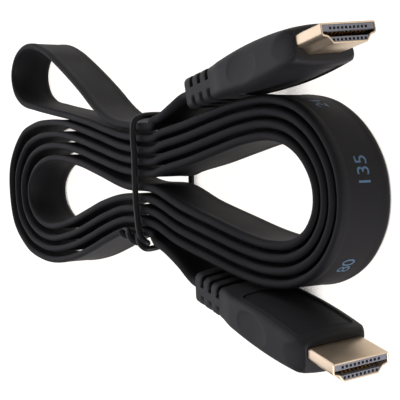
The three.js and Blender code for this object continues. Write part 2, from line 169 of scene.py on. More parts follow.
# %% Turns of a nest, and the whole route
def nested_turn(inner, share, outwards):
    points = []
    for i, (x, y, spread) in enumerate(inner):
        before, after = inner[max(i - 1, 0)], inner[min(i + 1, len(inner) - 1)]
        along = Vector((after[0] - before[0], after[1] - before[1])).normalized()
        push = spread * share * outwards
        points.append((x - along.y * push, y + along.x * push))
    return points


def plug_side(nest):
    return nested_turn(PLUG_SIDE_TURN, PLUG_SIDE_SHARES[nest], 1)


def far_side(nest):
    return nested_turn(FAR_SIDE_TURN, FAR_SIDE_SHARES[nest], -1)


def tie_row(row, towards_plugs):
    ends = [(TIE_X - TIE_REACH_FLAT, row_y(row)), (TIE_X + TIE_REACH_FLAT, row_y(row))]
    return ends if towards_plugs else ends[::-1]


coil_points = (
    NEAR_LEAD + tie_row(0, False) + ODD_LOOP + tie_row(1, True) + plug_side(3)
    + tie_row(8, False) + far_side(2)[::-1] + tie_row(3, True) + plug_side(1)
    + tie_row(6, False) + far_side(0)[::-1] + tie_row(5, True) + plug_side(0)[::-1]
    + tie_row(4, False) + far_side(1) + tie_row(7, True) + plug_side(2)[::-1]
    + tie_row(2, False) + far_side(3) + tie_row(9, True) + FAR_LEAD)
print("drawn points on the route", len(coil_points))

# %% [markdown]
# A centripetal Catmull-Rom curve goes through every point without overshooting where points lie
# unevenly. It is worked out by hand here, because the lead must lie exactly where the solid one does.

# %% Smooth curve through the points
def catmull_rom(points, steps):
    points = [np.array(p, float) for p in points]
    ends = [2 * points[0] - points[1]] + points + [2 * points[-1] - points[-2]]
    line = []
    for i in range(1, len(ends) - 2):
        p0, p1, p2, p3 = ends[i - 1:i + 3]
        t0, t1, t2 = (max(np.linalg.norm(b - a) ** 0.5, 1e-4) for a, b in ((p0, p1), (p1, p2), (p2, p3)))
        m1 = ((p1 - p0) / t0 - (p2 - p0) / (t0 + t1) + (p2 - p1) / t1) * t1
        m2 = ((p2 - p1) / t1 - (p3 - p1) / (t1 + t2) + (p3 - p2) / t2) * t1
        for step in range(steps):
            t = step / steps
            line.append(p1 + m1 * t + (3 * (p2 - p1) - 2 * m1 - m2) * t ** 2
                        + (2 * (p1 - p2) + m1 + m2) * t ** 3)
    line.append(points[-1])
    return np.array(line)


def spaced(line, step):
    lengths = np.concatenate([[0], np.cumsum(np.linalg.norm(np.diff(line, axis=0), axis=1))])
    count = max(int(round(lengths[-1] / step)), 2)
    at = np.linspace(0, lengths[-1], count + 1)
    return np.stack([np.interp(at, lengths, line[:, axis]) for axis in range(3)], axis=1), at

# %% [markdown]
# The lead leaves each strain relief along the plug's own axis, so the route's two ends are worked out
# from the plugs' places. Between them it keeps the height of the lead's middle, and rises a little
# where it crosses the tie.

# %% The lead's own route
LEAD_STEP = 1.4


def lead_end(matrix):
    out = matrix.to_3x3() @ Vector((1, 0, 0))
    end = matrix.translation - out * (RELIEF_END + PIECE_GAP)
    return [tuple(end - out * LEAD_END_STRAIGHT), tuple(end)]


on_floor = [(x, y, LEAD_WIDTH / 2 + lift_at(x)) for x, y in coil_points]
route = lead_end(plug_frames["plug_a"])[::-1] + on_floor + lead_end(plug_frames["plug_b"])
lead_line, lead_at = spaced(catmull_rom(route, steps=24), LEAD_STEP)
lead_length = lead_at[-1]
print("lead length in mm", round(lead_length, 1), "stations", len(lead_line))

# %% [markdown]
# ## Geometry Nodes, and how a tree is run here
# A geometry-node tree is built in code, put on a simple base mesh, given its sizes, and then the
# result is copied out as a plain mesh. Each size is a named input of the tree. The short helpers add
# a node, feed its sockets with numbers or with other nodes, and close every tree in the same way.

# %% Helpers for geometry-node trees
def new_tree(name, sizes):
    tree = bpy.data.node_groups.new(name, "GeometryNodeTree")
    tree.is_modifier = True
    tree.interface.new_socket("Geometry", in_out="INPUT", socket_type="NodeSocketGeometry")
    for label, value in sizes.items():
        kind = "NodeSocketInt" if isinstance(value, int) else "NodeSocketFloat"
        tree.interface.new_socket(label, in_out="INPUT", socket_type=kind).default_value = value
    tree.interface.new_socket("Finish", in_out="INPUT", socket_type="NodeSocketMaterial")
    tree.interface.new_socket("Geometry", in_out="OUTPUT", socket_type="NodeSocketGeometry")
    return tree, tree.nodes.new("NodeGroupInput"), tree.nodes.new("NodeGroupOutput")


def add(tree, kind, settings=None, **inputs):
    node = tree.nodes.new(kind)
    for key, value in (settings or {}).items():
        setattr(node, key, value)
    for label, value in inputs.items():
        put(tree, node, label.replace("_", " "), value)
    return node


def feed(tree, socket, value):
    if isinstance(value, bpy.types.NodeSocket):
        tree.links.new(value, socket)
    else:
        socket.default_value = value


def put(tree, node, label, value):
    feed(tree, next(s for s in node.inputs if s.name == label and s.enabled), value)


def fill(tree, node, values):
    for socket, value in zip(node.inputs, values):
        feed(tree, socket, value)
    return node.outputs[0]


def maths(tree, operation, *values):
    return fill(tree, add(tree, "ShaderNodeMath", {"operation": operation}), values)


def vector(tree, *values):
    return fill(tree, tree.nodes.new("ShaderNodeCombineXYZ"), values)


def sweep(tree, curve, section):
    swept = add(tree, "GeometryNodeCurveToMesh", Curve=curve, Profile_Curve=section, Fill_Caps=True)
    return add(tree, "GeometryNodeSetShadeSmooth", Geometry=swept.outputs[0]).outputs[0]


def close_tree(tree, group_in, group_out, geometry):
    real = add(tree, "GeometryNodeRealizeInstances", Geometry=geometry)
    painted = add(tree, "GeometryNodeSetMaterial",
                  Geometry=real.outputs[0], Material=group_in.outputs["Finish"])
    tree.links.new(painted.outputs[0], group_out.inputs[0])


# %% [markdown]
# A base mesh carries the tree as a modifier. Each input is set by its socket's identifier, because a
# name alone isn't enough for a modifier. The evaluated result is copied to a plain mesh, and then
# the base and its modifier are removed.

# %% Run a tree and keep its mesh
def link(piece):
    bpy.context.scene.collection.objects.link(piece)
    return piece


def run_tree(name, tree, base, sizes, finish):
    holder = link(bpy.data.objects.new(name + "_base", base))
    modifier = holder.modifiers.new("Build", "NODES")
    modifier.node_group = tree
    slots = {s.name: s.identifier for s in tree.interface.items_tree if s.in_out == "INPUT"}
    for label, value in {**sizes, "Finish": finish}.items():
        modifier[slots[label]] = value
    graph = bpy.context.evaluated_depsgraph_get()
    mesh = bpy.data.meshes.new_from_object(
        holder.evaluated_get(graph), preserve_all_data_layers=True, depsgraph=graph)
    bpy.data.objects.remove(holder)
    mesh.name = name
    mesh.materials.clear()
    mesh.materials.append(finish)
    print(name, len(mesh.vertices), "vertices", len(mesh.polygons), "faces")
    return link(bpy.data.objects.new(name, mesh))


def mesh_from(name, vertices, faces, edges=()):
    mesh = bpy.data.meshes.new(name)
    mesh.from_pydata([tuple(v) for v in vertices], list(edges), faces)
    mesh.update()
    return mesh


# %% [markdown]
# ## Finishes
# Every finish here is soft plastic or plated metal. Each is a small node tree on object
# coordinates, so that a pattern stays on the piece: a broad cloudiness in the colour, a fine grain
# in the bump, and a roughness that wanders with both.

# %% Helper for a grained finish
GRAIN_SHARE = 0.45
MIX_RANGE = (0.45, 0.95)


def grained(name, dark, light, rough, metal=0.0, cloud=90.0, grain=2600.0, bump=0.12, depth=0.00004,
            specular=0.5):
    material = bpy.data.materials.new(name)
    material.use_nodes = True
    tree = material.node_tree
    shader = tree.nodes["Principled BSDF"]
    place = tree.nodes.new("ShaderNodeTexCoord").outputs["Object"]
    broad = add(tree, "ShaderNodeTexNoise", Vector=place, Scale=cloud, Detail=4.0, Roughness=0.6)
    fine = add(tree, "ShaderNodeTexNoise", Vector=place, Scale=grain, Detail=3.0, Roughness=0.65)
    both = maths(tree, "MULTIPLY_ADD", fine.outputs[0], GRAIN_SHARE, broad.outputs[0])
    ramp = tree.nodes.new("ShaderNodeValToRGB")
    for element, position, colour in zip(ramp.color_ramp.elements, MIX_RANGE, (dark, light)):
        element.position = position
        element.color = (*colour, 1)
    tree.links.new(both, ramp.inputs[0])
    tree.links.new(ramp.outputs[0], shader.inputs["Base Color"])
    spread = add(tree, "ShaderNodeMapRange", Value=both, From_Min=MIX_RANGE[0], From_Max=MIX_RANGE[1],
                 To_Min=rough[0], To_Max=rough[1])
    tree.links.new(spread.outputs[0], shader.inputs["Roughness"])
    relief = add(tree, "ShaderNodeBump", Strength=bump, Distance=depth, Height=fine.outputs[0])
    tree.links.new(relief.outputs[0], shader.inputs["Normal"])
    shader.inputs["Metallic"].default_value = metal
    shader.inputs["Specular IOR Level"].default_value = specular
    return material


# %% [markdown]
# No black plastic is quite black. The lead's jacket is the most matt, the moulds are a charcoal with
# a finer grain, and the wire's coating is darker and smoother. The shells are plated in a pale gold
# that is rubbed rather than mirror bright. A low specular level keeps the blacks from going grey.

# %% The finishes
lead_finish = grained("black_soft_jacket", dark=(0.007, 0.0066, 0.0074), light=(0.011, 0.0104, 0.0115),
                      rough=(0.60, 0.72), specular=0.12)
mould_finish = grained("charcoal_mould", dark=(0.008, 0.0077, 0.0085), light=(0.013, 0.0125, 0.0138),
                       rough=(0.54, 0.66), grain=3400.0, specular=0.2)
shell_finish = grained("champagne_plating", dark=(0.56, 0.44, 0.31), light=(0.65, 0.53, 0.39),
                       rough=(0.34, 0.40), metal=1.0, cloud=120.0, grain=900.0, bump=0.01, depth=0.000004)
block_finish = grained("slate_moulding", dark=(0.11, 0.115, 0.135), light=(0.16, 0.165, 0.185),
                       rough=(0.42, 0.55), grain=4000.0)
contact_finish = grained("gold_contact", dark=(0.55, 0.34, 0.11), light=(0.75, 0.50, 0.19),
                         rough=(0.22, 0.32), metal=1.0, cloud=400.0, bump=0.04, depth=0.00001)
tie_finish = grained("black_coated_wire", dark=(0.005, 0.005, 0.0055), light=(0.009, 0.009, 0.0095),
                     rough=(0.42, 0.52), specular=0.2)
print("finishes ready")

# %% [markdown]
# ## The flat lead
# The jacket is pushed through a die, so its section is the same everywhere: a flat web with a
# rounded bead along each edge. Sweeping one drawn section along the route copies that. The route
# mesh carries a sideways direction at every point, so the lead stands on edge and turns with the plugs.

# %% Route mesh with a sideways direction
def unit(v):
    return v / np.linalg.norm(v)


tangents = np.gradient(lead_line, lead_at, axis=0)
sides = []
for i, along in enumerate(tangents):
    nearer = "plug_a" if i < len(lead_line) / 2 else "plug_b"
    from_end = min(lead_at[i], lead_length - lead_at[i])
    plug_up = np.array(plug_frames[nearer].to_3x3() @ Vector((0, 0, 1)))
    share = smoothstep(from_end, 0, LEAD_END_TURN)
    sides.append(unit(np.cross(plug_up * (1 - share) + np.array((0, 0, 1)) * share, along)))
sides = np.array(sides)

shift = np.array(HANK_SHIFT)
route_edges = [(i, i + 1) for i in range(len(lead_line) - 1)]
route_mesh = mesh_from("lead_route", lead_line * MM + shift, [], route_edges)
route_mesh.attributes.new("side", "FLOAT_VECTOR", "POINT").data.foreach_set("vector", sides.ravel())
print("route points", len(route_mesh.vertices))

# %% [markdown]
# The section is a rectangle with rounded corners. Its points near the middle of the width are drawn
# in a little, which leaves a bead along each edge. The lead is made slightly thinner than the solid
# one, because that is how its edge measures in the picture.

# %% Section of the lead, swept along the route
THINNER_BY = 0.2
LEAD_SIZES = {"Width": LEAD_WIDTH * MM, "Thickness": (LEAD_THICK - THINNER_BY) * MM, "Bead": 2.3 * MM,
              "Bead blend": 0.4 * MM, "Web recess": 0.12 * MM, "Edge radius": 1.05 * MM,
              "Section step": 0.45 * MM}


def lead_tree():
    tree, group_in, group_out = new_tree("flat_lead_sweep", LEAD_SIZES)
    size = group_in.outputs
    box = add(tree, "GeometryNodeCurvePrimitiveQuadrilateral",
              Width=size["Thickness"], Height=size["Width"])
    soft = add(tree, "GeometryNodeFilletCurve", {"mode": "POLY"},
               Curve=box.outputs[0], Count=6, Radius=size["Edge radius"])
    fine = add(tree, "GeometryNodeResampleCurve", {"mode": "LENGTH"},
               Curve=soft.outputs[0], Length=size["Section step"])
    place = add(tree, "GeometryNodeInputPosition")
    parts = add(tree, "ShaderNodeSeparateXYZ", Vector=place.outputs[0])
    bead_from = maths(tree, "SUBTRACT", maths(tree, "MULTIPLY", size["Width"], 0.5), size["Bead"])
    web = add(tree, "ShaderNodeMapRange", {"interpolation_type": "SMOOTHSTEP"},
              Value=maths(tree, "ABSOLUTE", parts.outputs[1]), From_Min=bead_from,
              From_Max=maths(tree, "ADD", bead_from, size["Bead blend"]),
              To_Min=size["Web recess"], To_Max=0.0)
    inwards = maths(tree, "MULTIPLY", maths(tree, "SIGN", parts.outputs[0]), -1.0)
    move = vector(tree, maths(tree, "MULTIPLY", web.outputs[0], inwards))
    section = add(tree, "GeometryNodeSetPosition", Geometry=fine.outputs[0], Offset=move)
    curve = add(tree, "GeometryNodeMeshToCurve", Mesh=group_in.outputs["Geometry"])
    side = add(tree, "GeometryNodeInputNamedAttribute", {"data_type": "FLOAT_VECTOR"}, Name="side")
    aimed = add(tree, "GeometryNodeSetCurveNormal", {"mode": "FREE"},
                Curve=curve.outputs[0], Normal=side.outputs[0])
    close_tree(tree, group_in, group_out, sweep(tree, aimed.outputs[0], section.outputs[0]))
    return tree


flat_lead = run_tree("lead_jacket", lead_tree(), route_mesh, LEAD_SIZES, lead_finish)
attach(flat_lead, "root")
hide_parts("flat_lead")

# %% [markdown]
# ## The ink on the lead
# A flat lead carries a line of small pale-blue print along one face. Here it is plain digits. A
# text curve is made into a thin solid mesh, and then each of its points is carried over: its x goes
# along the lead's route and its y goes across the lead's width.

# %% A text as a thin mesh, and how it is laid on the lead
PRINT_HEIGHT = 3.4
FONT_SIZE_TO_DIGIT = 1.4
PRINT_RISE = 0.03
ink_finish = grained("pale_blue_ink", dark=(0.035, 0.075, 0.13), light=(0.06, 0.12, 0.19),
                     rough=(0.5, 0.6), specular=0.3)


def digits_mesh(text):
    curve = bpy.data.curves.new("digits", "FONT")
    curve.body = text
    curve.size = PRINT_HEIGHT * FONT_SIZE_TO_DIGIT
    curve.extrude = PRINT_RISE
    curve.align_x = "CENTER"
    curve.align_y = "CENTER"
    holder = link(bpy.data.objects.new("digits", curve))
    graph = bpy.context.evaluated_depsgraph_get()
    mesh = bpy.data.meshes.new_from_object(holder.evaluated_get(graph), depsgraph=graph)
    bpy.data.objects.remove(holder)
    return mesh


def lay_on_lead(mesh, station, way):
    web_face = (LEAD_SIZES["Thickness"] / 2 - LEAD_SIZES["Web recess"]) / MM
    for vertex in mesh.vertices:
        along, across, out = vertex.co
        index = min(max(station - along / LEAD_STEP, 1), len(lead_line) - 2)
        low = int(index)
        share = index - low
        place = lead_line[low] * (1 - share) + lead_line[low + 1] * share
        outwards = unit(sides[low] * (1 - share) + sides[low + 1] * share) * way
        rise = web_face + out + PRINT_RISE * 0.5
        vertex.co = Vector((place + outwards * rise + np.array((0, 0, across))) * MM + shift)
    return mesh


# %% [markdown]
# The digits stand on the outermost loop's outer face. Each group is set at one of the loop's drawn
# points, and the face that looks away from the loop's middle is the one that gets the ink.

# %% Digits on the outer face of the outermost loop
PRINTS = {5: "24", 7: "135", 9: "80"}
LOOP_MIDDLE = (60, -5)

outer_loop = plug_side(3)
prints = []
for corner, text in PRINTS.items():
    target = np.array(outer_loop[corner])
    station = int(np.argmin(np.linalg.norm(lead_line[:, :2] - target, axis=1)))
    way = 1.0 if sides[station][:2] @ (target - np.array(LOOP_MIDDLE)) > 0 else -1.0
    laid = lay_on_lead(digits_mesh(text), station, way)
    digits = link(bpy.data.objects.new(f"lead_digits_{corner}", laid))
    digits.data.materials.clear()
    digits.data.materials.append(ink_finish)
    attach(digits, "root")
    prints.append(digits)
print("printed groups of digits", len(prints))

# %% [markdown]
# ## The plug moulds
# The mould is one soft plastic body: a crowned box that narrows to the strain relief. It is drawn
# as rings along the plug's own axis. Its panel, thumb rest and relief slots are pushed into the
# same skin, which keeps every edge a little soft, as moulded plastic is.

# %% Mould sizes, in millimetres back from the mouth
SHELL_SHOWN = 9.85
BODY_HALF_WIDTH = 9.2
BODY_HALF_FRONT = 3.7
BODY_HALF_MIDDLE = 4.8
BODY_HALF_REAR = 4.3
BODY_MIDDLE_AT = 28.0
BODY_REAR_AT = 41.2
BODY_CROWN = 0.8
CROWN_BLEND = 3.0
BODY_CORNER = 1.7
RELIEF_AT = 49.3
RELIEF_HALF_WIDTH = 8.25
RELIEF_HALF_HEIGHT = 4.1
RELIEF_CROWN = 0.35
GROOVE_COUNT = 3
GROOVE_PITCH = 4.3
GROOVE_WIDTH = 1.4
GROOVE_DEPTH = 1.3
GROOVE_SPINE = 1.1
PANEL_HALF_WIDTH = 7.1
PANEL_FRONT_AT = 13.2
PANEL_REAR_AT = 40.0
PANEL_FRONT_CORNER = 0.9
PANEL_REAR_CORNER = 2.2
PANEL_DEPTH = 0.35
PANEL_LIP = 0.10
THUMB_AT = 31.0
THUMB_LENGTH = 14.0
THUMB_HEIGHT = 7.4
THUMB_DEPTH = 0.55
print("mould", 2 * BODY_HALF_WIDTH, "mm wide,", 2 * (BODY_HALF_MIDDLE + BODY_CROWN), "mm thick")

# %% [markdown]
# Seen from its side the body is thickest at the middle and falls off in a bow both ways. Behind it a
# short neck leads to the strain relief, which is straight. Its wide faces are crowned, less so at the
# relief. Each of these is a small function of the distance from the mouth.

# %% Height, width and crown along the plug
def mix(a, b, share):
    return a + (b - a) * share


def half_height(at):
    if at > RELIEF_AT:
        return RELIEF_HALF_HEIGHT
    if at > BODY_REAR_AT:
        return mix(BODY_HALF_REAR, RELIEF_HALF_HEIGHT, (at - BODY_REAR_AT) / (RELIEF_AT - BODY_REAR_AT))
    front = at < BODY_MIDDLE_AT
    reach = BODY_MIDDLE_AT - SHELL_SHOWN if front else BODY_REAR_AT - BODY_MIDDLE_AT
    end = BODY_HALF_FRONT if front else BODY_HALF_REAR
    share = (at - BODY_MIDDLE_AT) / reach
    return BODY_HALF_MIDDLE - (BODY_HALF_MIDDLE - end) * share * share


def half_width(at):
    return mix(BODY_HALF_WIDTH, RELIEF_HALF_WIDTH, smoothstep(at, BODY_REAR_AT, RELIEF_AT))


def crown_at(at):
    return mix(BODY_CROWN, RELIEF_CROWN, smoothstep(at, BODY_REAR_AT - CROWN_BLEND, RELIEF_AT))


for at in (SHELL_SHOWN, BODY_MIDDLE_AT, BODY_REAR_AT, RELIEF_END):
    print("at", at, "half height", round(half_height(at), 2), "half width", round(half_width(at), 2))

# %% [markdown]
# The skin is a stack of rings. They stand close together at the nose, at the panel's two ends and at
# each relief slot, where the shape turns sharply, and far apart between. The last few draw in to
# round off the tail.

# %% Ring stations: close together at every edge that the mould has
CHEEK_LENGTH, CHEEK_INSET = 3.0, 0.6
SCOOP_EDGE_LENGTH, SCOOP_MIDDLE_LENGTH, SCOOP_DEPTH = 2.0, 7.0, 1.3
NOSE_LENGTH, NOSE_INSET = 1.3, 0.9
TAIL_ROUND = 0.6
EDGE = 0.16
NOSE_STEP, BODY_STEP, LEAST_STEP = 0.2, 0.4, 0.035
PANEL_FRONT_ZONE = {"middle": PANEL_FRONT_AT + 0.5, "reach": 0.9, "step": 0.09}
PANEL_REAR_ZONE = {"middle": PANEL_REAR_AT - 0.9, "reach": 1.3, "step": 0.12}
BESIDE_A_SLOT_EDGE = (-0.5, -0.3, -EDGE, -0.05, 0.05, EDGE)
GROOVE_LIP_REACH = 0.55
groove_starts = [RELIEF_AT + i * GROOVE_PITCH for i in range(GROOVE_COUNT)]


def around(middle, reach, step):
    return list(np.arange(middle - reach, middle + reach + step / 2, step))


def ring_stations():
    cheek_end, scoop_end = SHELL_SHOWN + CHEEK_LENGTH, SHELL_SHOWN + SCOOP_MIDDLE_LENGTH
    at = [SHELL_SHOWN + CHEEK_LENGTH * (1 - math.sin(math.radians(a))) for a in range(90, 0, -3)]
    at += list(np.arange(cheek_end, scoop_end, NOSE_STEP))
    at += list(np.arange(scoop_end, RELIEF_END - TAIL_ROUND, BODY_STEP))
    at += around(**PANEL_FRONT_ZONE) + around(**PANEL_REAR_ZONE)
    for start in groove_starts:
        for edge in (start, start + GROOVE_WIDTH):
            at += [edge + offset for offset in BESIDE_A_SLOT_EDGE]
    kept = []
    for value in sorted(at):
        if not kept or value - kept[-1] > LEAST_STEP:
            kept.append(value)
    tail = [(RELIEF_END - TAIL_ROUND * (1 - math.sin(a)), TAIL_ROUND * (1 - math.cos(a)))
            for a in np.radians((20, 45, 70, 90))]
    return [(value, 0.0) for value in kept] + tail


def rounded_in(at, length, inset):
    share = min(max((SHELL_SHOWN + length - at) / length, 0.0), 1.0)
    return inset * (1 - math.sqrt(1 - share * share))


def groove_share(at):
    inside = max(min(at - start, start + GROOVE_WIDTH - at) for start in groove_starts)
    return smoothstep(inside, -EDGE, EDGE * 0.6)


def lip_share(at):
    outside = min(max(start - at, at - start - GROOVE_WIDTH) for start in groove_starts)
    return 1 - smoothstep(outside, 0.0, GROOVE_LIP_REACH)


stations = ring_stations()
print("rings along a mould", len(stations))

# %% [markdown]
# One ring goes round the mould: a crowned face, a rounded corner, a plain side, another corner, and
# the same again turned half round. Its points stand closer where the panel's long edges run. Each
# point also carries the way it faces.

# %% One ring
CORNER_STEPS, SIDE_STEPS = 7, 18
FACE_REACH = BODY_HALF_WIDTH - BODY_CORNER
FACE_STEP, PANEL_EDGE_STEP, PANEL_EDGE_FROM = 0.32, 0.09, 4.8
half_face = list(np.arange(0, PANEL_EDGE_FROM, FACE_STEP))
half_face += list(np.arange(PANEL_EDGE_FROM, FACE_REACH, PANEL_EDGE_STEP))
FACE_SHARES = [z / FACE_REACH for z in [FACE_REACH] + half_face[::-1] + [-z for z in half_face[1:]]]


def ring_points(at, shrink):
    width = half_width(at) - shrink - rounded_in(at, CHEEK_LENGTH, CHEEK_INSET)
    height = half_height(at) - shrink - rounded_in(at, NOSE_LENGTH, NOSE_INSET)
    corner = BODY_CORNER - min(shrink, TAIL_ROUND)
    flat, tall, crown = width - corner, height - corner, crown_at(at)
    points = []
    for share in FACE_SHARES:
        points.append((flat * share, height + crown * (1 - share * share), 0.0, 1.0))
    for i in range(CORNER_STEPS):
        s, c = math.sin(math.pi / 2 * i / CORNER_STEPS), math.cos(math.pi / 2 * i / CORNER_STEPS)
        points.append((-flat - corner * s, tall + corner * c, -s, c))
    for i in range(SIDE_STEPS):
        points.append((-width, tall * (1 - 2 * i / SIDE_STEPS), -1.0, 0.0))
    for i in range(CORNER_STEPS):
        s, c = math.sin(math.pi / 2 * i / CORNER_STEPS), math.cos(math.pi / 2 * i / CORNER_STEPS)
        points.append((-flat - corner * c, -tall - corner * s, -c, -s))
    return points + [(-z, -y, -nz, -ny) for z, y, nz, ny in points]


print("points on a ring", len(ring_points(BODY_MIDDLE_AT, 0.0)))

# %% [markdown]
# What is pressed into the skin is a depth at each point: the panel with its raised edge line, the
# thumb rest, the scoop beside the nose, and the relief slots, which stop short of a thin spine.
# The point then moves that far against the way it faces.

# %% What is pressed into the skin
PANEL_WALL = (-0.12, 0.08)
PANEL_FACING = (0.4, 0.8)
LIP_MIDDLE, LIP_SPREAD = 0.2, 0.16
THUMB_BOWL, SCOOP_BOWL = 0.7, 1.25
SPINE_EDGE = (GROOVE_SPINE - 0.1, GROOVE_SPINE + 0.35)
GROOVE_LIP = 0.14


def panel_outside(at, z):
    middle = (PANEL_REAR_AT + PANEL_FRONT_AT) / 2
    corner = PANEL_FRONT_CORNER if at < middle else PANEL_REAR_CORNER
    dx = abs(at - middle) - (PANEL_REAR_AT - PANEL_FRONT_AT) / 2 + corner
    dz = abs(z) - PANEL_HALF_WIDTH + corner
    return math.hypot(max(dx, 0), max(dz, 0)) + min(max(dx, dz), 0) - corner


def pressed(at, z, y, nz, ny):
    outside = panel_outside(at, z)
    lip = PANEL_LIP * math.exp(-((outside - LIP_MIDDLE) / LIP_SPREAD) ** 2)
    panel = PANEL_DEPTH * (1 - smoothstep(outside, *PANEL_WALL)) - lip
    depth = panel * smoothstep(abs(ny), *PANEL_FACING)
    reach = ((at - THUMB_AT) / (THUMB_LENGTH / 2)) ** 2 + (y / (THUMB_HEIGHT / 2)) ** 2
    if abs(nz) > 0.5 and reach < 1:
        depth += THUMB_DEPTH * (1 - reach) ** THUMB_BOWL
    bow = max(1 - (y / BODY_HALF_FRONT) ** 2, 0.0)
    scoop = mix(SCOOP_EDGE_LENGTH, SCOOP_MIDDLE_LENGTH, bow)
    depth += SCOOP_DEPTH * max(1 - (at - SHELL_SHOWN) / scoop, 0.0) ** SCOOP_BOWL * abs(nz)
    off_spine = smoothstep(abs(y), *SPINE_EDGE)
    depth += GROOVE_DEPTH * groove_share(at) * off_spine
    if at > RELIEF_AT - 1:
        depth += GROOVE_LIP * lip_share(at) ** 2 * off_spine * (1 - groove_share(at))
    return depth


def mould_shape():
    vertices, faces = [], []
    for at, shrink in stations:
        for z, y, nz, ny in ring_points(at, shrink):
            depth = pressed(at, z, y, nz, ny)
            vertices.append((-at, y - ny * depth, z - nz * depth))
    count = len(ring_points(*stations[0]))
    for row in range(len(stations) - 1):
        for i in range(count):
            a, b = row * count + i, row * count + (i + 1) % count
            faces.append((a, a + count, b + count, b))
    last = (len(stations) - 1) * count
    faces.append(tuple(last + i for i in range(count))[::-1])
    return vertices, faces, count


mould_vertices, mould_faces, ring_count = mould_shape()
print("mould skin", len(mould_vertices), "points")

# %% [markdown]
# ## The shell's outline and the moulds' nose
# One outline serves the shell, the pocket in the nose that it sits in, and the block inside it. It is
# wide and flat on top. Below, each side steps in by a soft S and slopes to the narrow bottom. The
# outline can grow or shrink by an even wall, and its round corners grow and shrink with it.

# %% Outline of a shell
SHELL_WIDTH = 13.9
SHELL_HEIGHT = 4.45
SHELL_SIDE_END = -0.40
SHELL_STEP_HALF = 5.45
SHELL_STEP_AT = -0.80
SHELL_NARROW = 8.7
SHELL_WALL = 0.4
SHELL_SEATED = 1.2
SHELL_RADII = (0.5, 0.9, 0.7, 0.4)
LEAST_RADIUS = 0.1


def shell_outline(grow, steps=5):
    half, top = SHELL_WIDTH / 2, SHELL_HEIGHT / 2
    side = [(half, top), (half, SHELL_SIDE_END), (SHELL_STEP_HALF, SHELL_STEP_AT), (SHELL_NARROW / 2, -top)]
    corners = [np.array(p) for p in side[:1] + [(-z, y) for z, y in side] + side[:0:-1]]
    radii = SHELL_RADII[:1] + SHELL_RADII + SHELL_RADII[:0:-1]
    points = []
    for i, (here, radius) in enumerate(zip(corners, radii)):
        before = unit(corners[i - 1] - here)
        after = unit(corners[(i + 1) % len(corners)] - here)
        leave, arrive = np.array((after[1], -after[0])), np.array((-before[1], before[0]))
        bend = before[1] * after[0] - before[0] * after[1]
        moved = here + (leave + arrive) * grow / (1 + leave @ arrive)
        rounding = max(radius + (grow if bend > 0 else -grow), LEAST_RADIUS)
        half_angle = math.acos(np.clip(before @ after, -1, 1)) / 2
        cut = rounding / math.tan(half_angle)
        centre = moved + unit(before + after) * rounding / math.sin(half_angle)
        start, end = moved + before * cut - centre, moved + after * cut - centre
        for step in range(steps + 1):
            share = step / steps
            points.append(centre + unit(start * (1 - share) + end * share) * rounding)
    return [(float(z), float(y)) for z, y in points]


print("points on a shell's outline", len(shell_outline(0.0)))

# %% [markdown]
# Each plug piece is drawn with the plug along x and its mouth at zero. Its points are then carried to
# the plug's place, so the object itself stays at the origin. Points that coincide are merged, and
# the faces are turned outwards. Where no edge is open, each has two faces, and the skin is closed.

# %% Place a piece, and close its skin
MERGE_WITHIN = 1e-7


def outward(piece):
    work = bmesh.new()
    work.from_mesh(piece.data)
    bmesh.ops.remove_doubles(work, verts=work.verts, dist=MERGE_WITHIN)
    bmesh.ops.recalc_face_normals(work, faces=work.faces)
    work.to_mesh(piece.data)
    open_edges = sum(1 for edge in work.edges if len(edge.link_faces) != 2)
    work.free()
    print(piece.name, "faces", len(piece.data.polygons), "open edges", open_edges)


def place_piece(name, vertices, faces, plug, finish, smooth_angle=40):
    matrix = plug_frames[plug]
    placed = [(matrix @ Vector(v)) * MM + HANK_SHIFT for v in vertices]
    mesh = mesh_from(name, placed, faces)
    mesh.materials.append(finish)
    piece = link(bpy.data.objects.new(name, mesh))
    mesh.shade_smooth()
    mesh.set_sharp_from_angle(angle=math.radians(smooth_angle))
    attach(piece, "root")
    outward(piece)
    return piece


# %% [markdown]
# The nose face is a band of triangles between the skin's first ring and the pocket's outline. The
# two loops have different numbers of points, so the band is zipped: the loop that lags behind in
# angle takes the next step. The pocket then goes back as a short sleeve with a closed end.

# %% Nose pocket
POCKET_RINGS = ((0.0, 0.14), (0.1, 0.05), (SHELL_SEATED + 0.3, 0.04))


def zipped(outer, inner):
    faces, i, j = [], 0, 0
    n, m = len(outer), len(inner)
    while i < n or j < m:
        take_outer = j >= m or (i < n and outer[i][1] <= inner[j][1])
        a, b = outer[i % n][0], inner[j % m][0]
        if take_outer:
            faces.append((a, outer[(i + 1) % n][0], b))
            i += 1
        else:
            faces.append((a, inner[(j + 1) % m][0], b))
            j += 1
    return faces


def by_angle(indices, vertices):
    pairs = sorted((math.atan2(vertices[i][1], vertices[i][2]) % (2 * math.pi), i) for i in indices)
    return [(i, angle) for angle, i in pairs]


def add_nose(vertices, faces, count):
    vertices, faces = list(vertices), list(faces)
    lip = []
    for back, grow in POCKET_RINGS:
        outline = shell_outline(grow)
        lip.append([len(vertices) + i for i in range(len(outline))])
        vertices += [(-SHELL_SHOWN - back, y, z) for z, y in outline]
    faces += zipped(by_angle(range(count), vertices), by_angle(lip[0], vertices))
    for first, second in zip(lip, lip[1:]):
        for i in range(len(first)):
            j = (i + 1) % len(first)
            faces.append((first[i], second[i], second[j], first[j]))
    faces.append(tuple(lip[-1]))
    return vertices, faces


mould_with_nose = add_nose(mould_vertices, mould_faces, ring_count)
print("mould with its nose", len(mould_with_nose[1]), "faces")

# %% [markdown]
# Both plugs come out of the same tool, so one skin is drawn and placed twice.

# %% The two moulds
for plug in PLUGS:
    mould = place_piece(plug + "_mould_skin", *mould_with_nose, plug, mould_finish)
    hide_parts(plug + "_mould")

